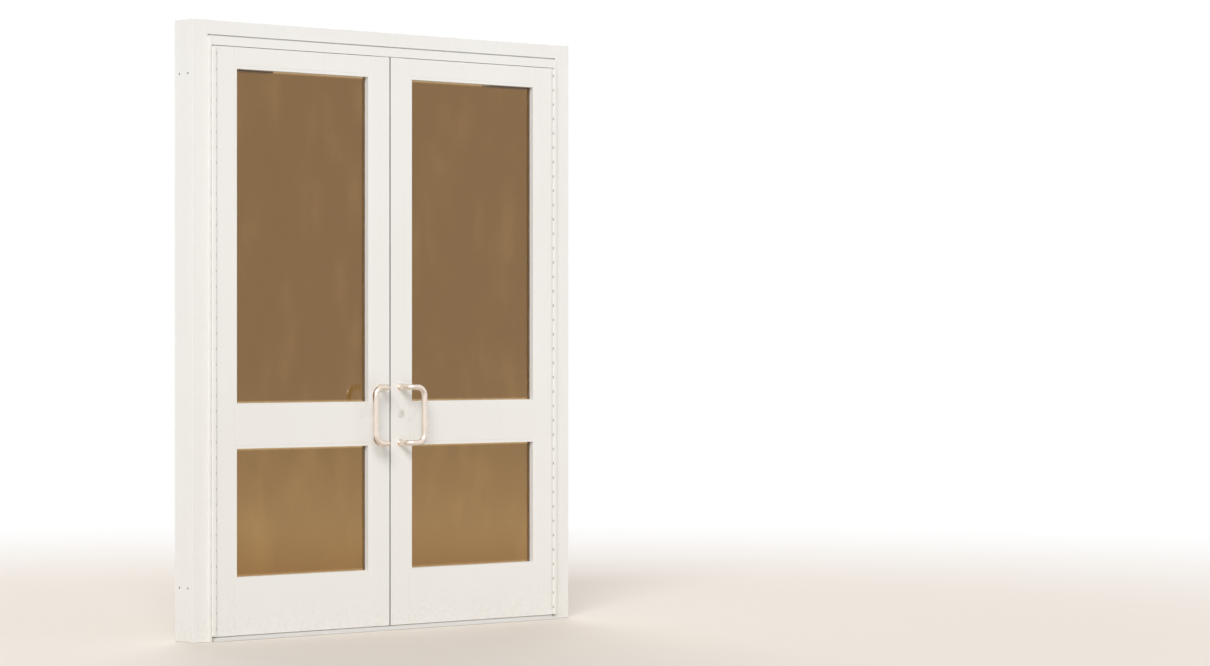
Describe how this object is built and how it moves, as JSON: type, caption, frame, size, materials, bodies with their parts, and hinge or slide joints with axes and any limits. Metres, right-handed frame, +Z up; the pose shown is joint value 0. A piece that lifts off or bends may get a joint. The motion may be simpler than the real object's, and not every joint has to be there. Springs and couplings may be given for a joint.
{
  "type": "double glass door",
  "caption": "Pair of outward-opening glass doors in a white aluminium frame, with geared hinges, offset pulls, exit devices, door closers and a threshold.",
  "frame": {"origin": "on the floor, in the middle of the doorway and of the door frame's depth, on the underside of the threshold", "axes": "+X to the right as seen from outside, +Y into the building, +Z up; the leaves open towards -Y"},
  "size_m": [2.0112, 0.2196, 2.54],
  "materials": {
    "white_paint": "baked off-white paint, satin",
    "tinted_glass": "bronze tint, smooth",
    "seal_rubber": "matt",
    "glazing_vinyl": "soft grey extrusion, matt",
    "bearing_nylon": "moulded, matt",
    "pull_metal": "polished bar, slightly warm",
    "lock_metal": "satin",
    "hardware_steel": "satin brushed",
    "device_paint": "clear anodised",
    "closer_paint": "silver-grey paint",
    "bare_aluminium": "mill finish, worn by feet"
  },
  "bodies": {
    "root": {"left_mullion": "white_paint", "right_mullion": "white_paint", "transom_bar": "white_paint", "left_jamb": "white_paint", "right_jamb": "white_paint", "header": "white_paint", "door_stops": "white_paint", "frame_weatherstrip": "seal_rubber", "threshold": "bare_aluminium", "latch_strikes": "hardware_steel", "hinge_frame_leaves": "white_paint", "closer_shoes": "closer_paint"},
    "left_hinge_cap": {"left_hinge_cap": "white_paint", "left_hinge_bearings": "bearing_nylon"},
    "left_leaf": {"left_hinge_leaf": "white_paint", "left_hinge_stile": "white_paint", "left_lock_stile": "white_paint", "left_bottom_rail": "white_paint", "left_mid_rail": "white_paint", "left_top_rail": "white_paint", "left_lower_glass": "tinted_glass", "left_upper_glass": "tinted_glass", "left_glazing_beads": "white_paint", "left_glazing_gaskets": "glazing_vinyl", "left_weather_seals": "seal_rubber", "left_pull_handle": "pull_metal", "left_exit_chassis": "device_paint", "left_exit_cases": "device_paint", "left_rod_guides": "bearing_nylon", "left_closer_body": "closer_paint"},
    "left_touch_bar": {"left_touch_bar": "hardware_steel"},
    "left_top_rod": {"left_top_rod": "hardware_steel"},
    "left_bottom_rod": {"left_bottom_rod": "hardware_steel"},
    "left_main_arm": {"left_closer_main_arm": "closer_paint"},
    "left_forearm": {"left_closer_forearm": "closer_paint"},
    "right_hinge_cap": {"right_hinge_cap": "white_paint", "right_hinge_bearings": "bearing_nylon"},
    "right_leaf": {"right_hinge_leaf": "white_paint", "right_hinge_stile": "white_paint", "right_lock_stile": "white_paint", "right_bottom_rail": "white_paint", "right_mid_rail": "white_paint", "right_top_rail": "white_paint", "right_lower_glass": "tinted_glass", "right_upper_glass": "tinted_glass", "right_glazing_beads": "white_paint", "right_glazing_gaskets": "glazing_vinyl", "right_weather_seals": "seal_rubber", "right_pull_handle": "pull_metal", "right_exit_chassis": "device_paint", "right_exit_cases": "device_paint", "right_rod_guides": "bearing_nylon", "right_closer_body": "closer_paint", "lock_cylinder": "lock_metal"},
    "right_touch_bar": {"right_touch_bar": "hardware_steel"},
    "right_top_rod": {"right_top_rod": "hardware_steel"},
    "right_bottom_rod": {"right_bottom_rod": "hardware_steel"},
    "right_main_arm": {"right_closer_main_arm": "closer_paint"},
    "right_forearm": {"right_closer_forearm": "closer_paint"},
    "cylinder_plug": {"cylinder_plug": "lock_metal"}
  },
  "joints": [
    {"name": "left_door_swing", "type": "hinge", "parent": "root", "child": "left_leaf", "pos_m": [-0.9104, -0.06381, 1.227], "axis": [0, 0, -1], "range_deg": [0, 100], "stiffness_Nm_per_rad": 12, "springref_deg": -68.75},
    {"name": "left_cap_turn", "type": "hinge", "parent": "root", "child": "left_hinge_cap", "pos_m": [-0.9144, -0.06195, 1.227], "axis": [0, 0, -1], "range_deg": [0, 50]},
    {"name": "left_main_arm_turn", "type": "hinge", "parent": "left_leaf", "child": "left_main_arm", "pos_m": [-0.7024, 0.015, 2.399], "axis": [0, 0, 1], "range_deg": [0, 108.27]},
    {"name": "left_forearm_turn", "type": "hinge", "parent": "left_main_arm", "child": "left_forearm", "pos_m": [-0.43686, 0.04291, 2.408], "axis": [0, 0, -1], "range_deg": [0, 87.09]},
    {"name": "left_bar_slide", "type": "slide", "parent": "left_leaf", "child": "left_touch_bar", "axis": [0, 1, 0], "range_m": [0, 0.015]},
    {"name": "left_top_rod_slide", "type": "slide", "parent": "left_leaf", "child": "left_top_rod", "axis": [0, 0, 1], "range_m": [0, 0.014]},
    {"name": "left_bottom_rod_slide", "type": "slide", "parent": "left_leaf", "child": "left_bottom_rod", "axis": [0, 0, -1], "range_m": [0, 0.014]},
    {"name": "right_door_swing", "type": "hinge", "parent": "root", "child": "right_leaf", "pos_m": [0.9104, -0.06381, 1.227], "axis": [0, 0, 1], "range_deg": [0, 100], "stiffness_Nm_per_rad": 12, "springref_deg": -68.75},
    {"name": "right_cap_turn", "type": "hinge", "parent": "root", "child": "right_hinge_cap", "pos_m": [0.9144, -0.06195, 1.227], "axis": [0, 0, 1], "range_deg": [0, 50]},
    {"name": "right_main_arm_turn", "type": "hinge", "parent": "right_leaf", "child": "right_main_arm", "pos_m": [0.7024, 0.015, 2.399], "axis": [0, 0, -1], "range_deg": [0, 108.27]},
    {"name": "right_forearm_turn", "type": "hinge", "parent": "right_main_arm", "child": "right_forearm", "pos_m": [0.43686, 0.04291, 2.408], "axis": [0, 0, 1], "range_deg": [0, 87.09]},
    {"name": "right_bar_slide", "type": "slide", "parent": "right_leaf", "child": "right_touch_bar", "axis": [0, 1, 0], "range_m": [0, 0.015]},
    {"name": "right_top_rod_slide", "type": "slide", "parent": "right_leaf", "child": "right_top_rod", "axis": [0, 0, 1], "range_m": [0, 0.014]},
    {"name": "right_bottom_rod_slide", "type": "slide", "parent": "right_leaf", "child": "right_bottom_rod", "axis": [0, 0, -1], "range_m": [0, 0.014]},
    {"name": "cylinder_plug_turn", "type": "hinge", "parent": "right_leaf", "child": "cylinder_plug", "pos_m": [0.056, -0.05715, 0.922], "axis": [0, 1, 0], "range_deg": [0, 120]}
  ],
  "couplings": [
    {"joint": "left_cap_turn", "follows": "left_door_swing", "ratio": 0.5},
    {"joint": "left_main_arm_turn", "follows": "left_door_swing", "ratio": 1.0826},
    {"joint": "left_forearm_turn", "follows": "left_door_swing", "ratio": 0.87076},
    {"joint": "left_top_rod_slide", "follows": "left_bar_slide", "ratio": 0.933},
    {"joint": "left_bottom_rod_slide", "follows": "left_bar_slide", "ratio": 0.933},
    {"joint": "right_cap_turn", "follows": "right_door_swing", "ratio": 0.5},
    {"joint": "right_main_arm_turn", "follows": "right_door_swing", "ratio": 1.0826},
    {"joint": "right_forearm_turn", "follows": "right_door_swing", "ratio": 0.87076},
    {"joint": "right_top_rod_slide", "follows": "right_bar_slide", "ratio": 0.933},
    {"joint": "right_bottom_rod_slide", "follows": "right_bar_slide", "ratio": 0.933}
  ]
}
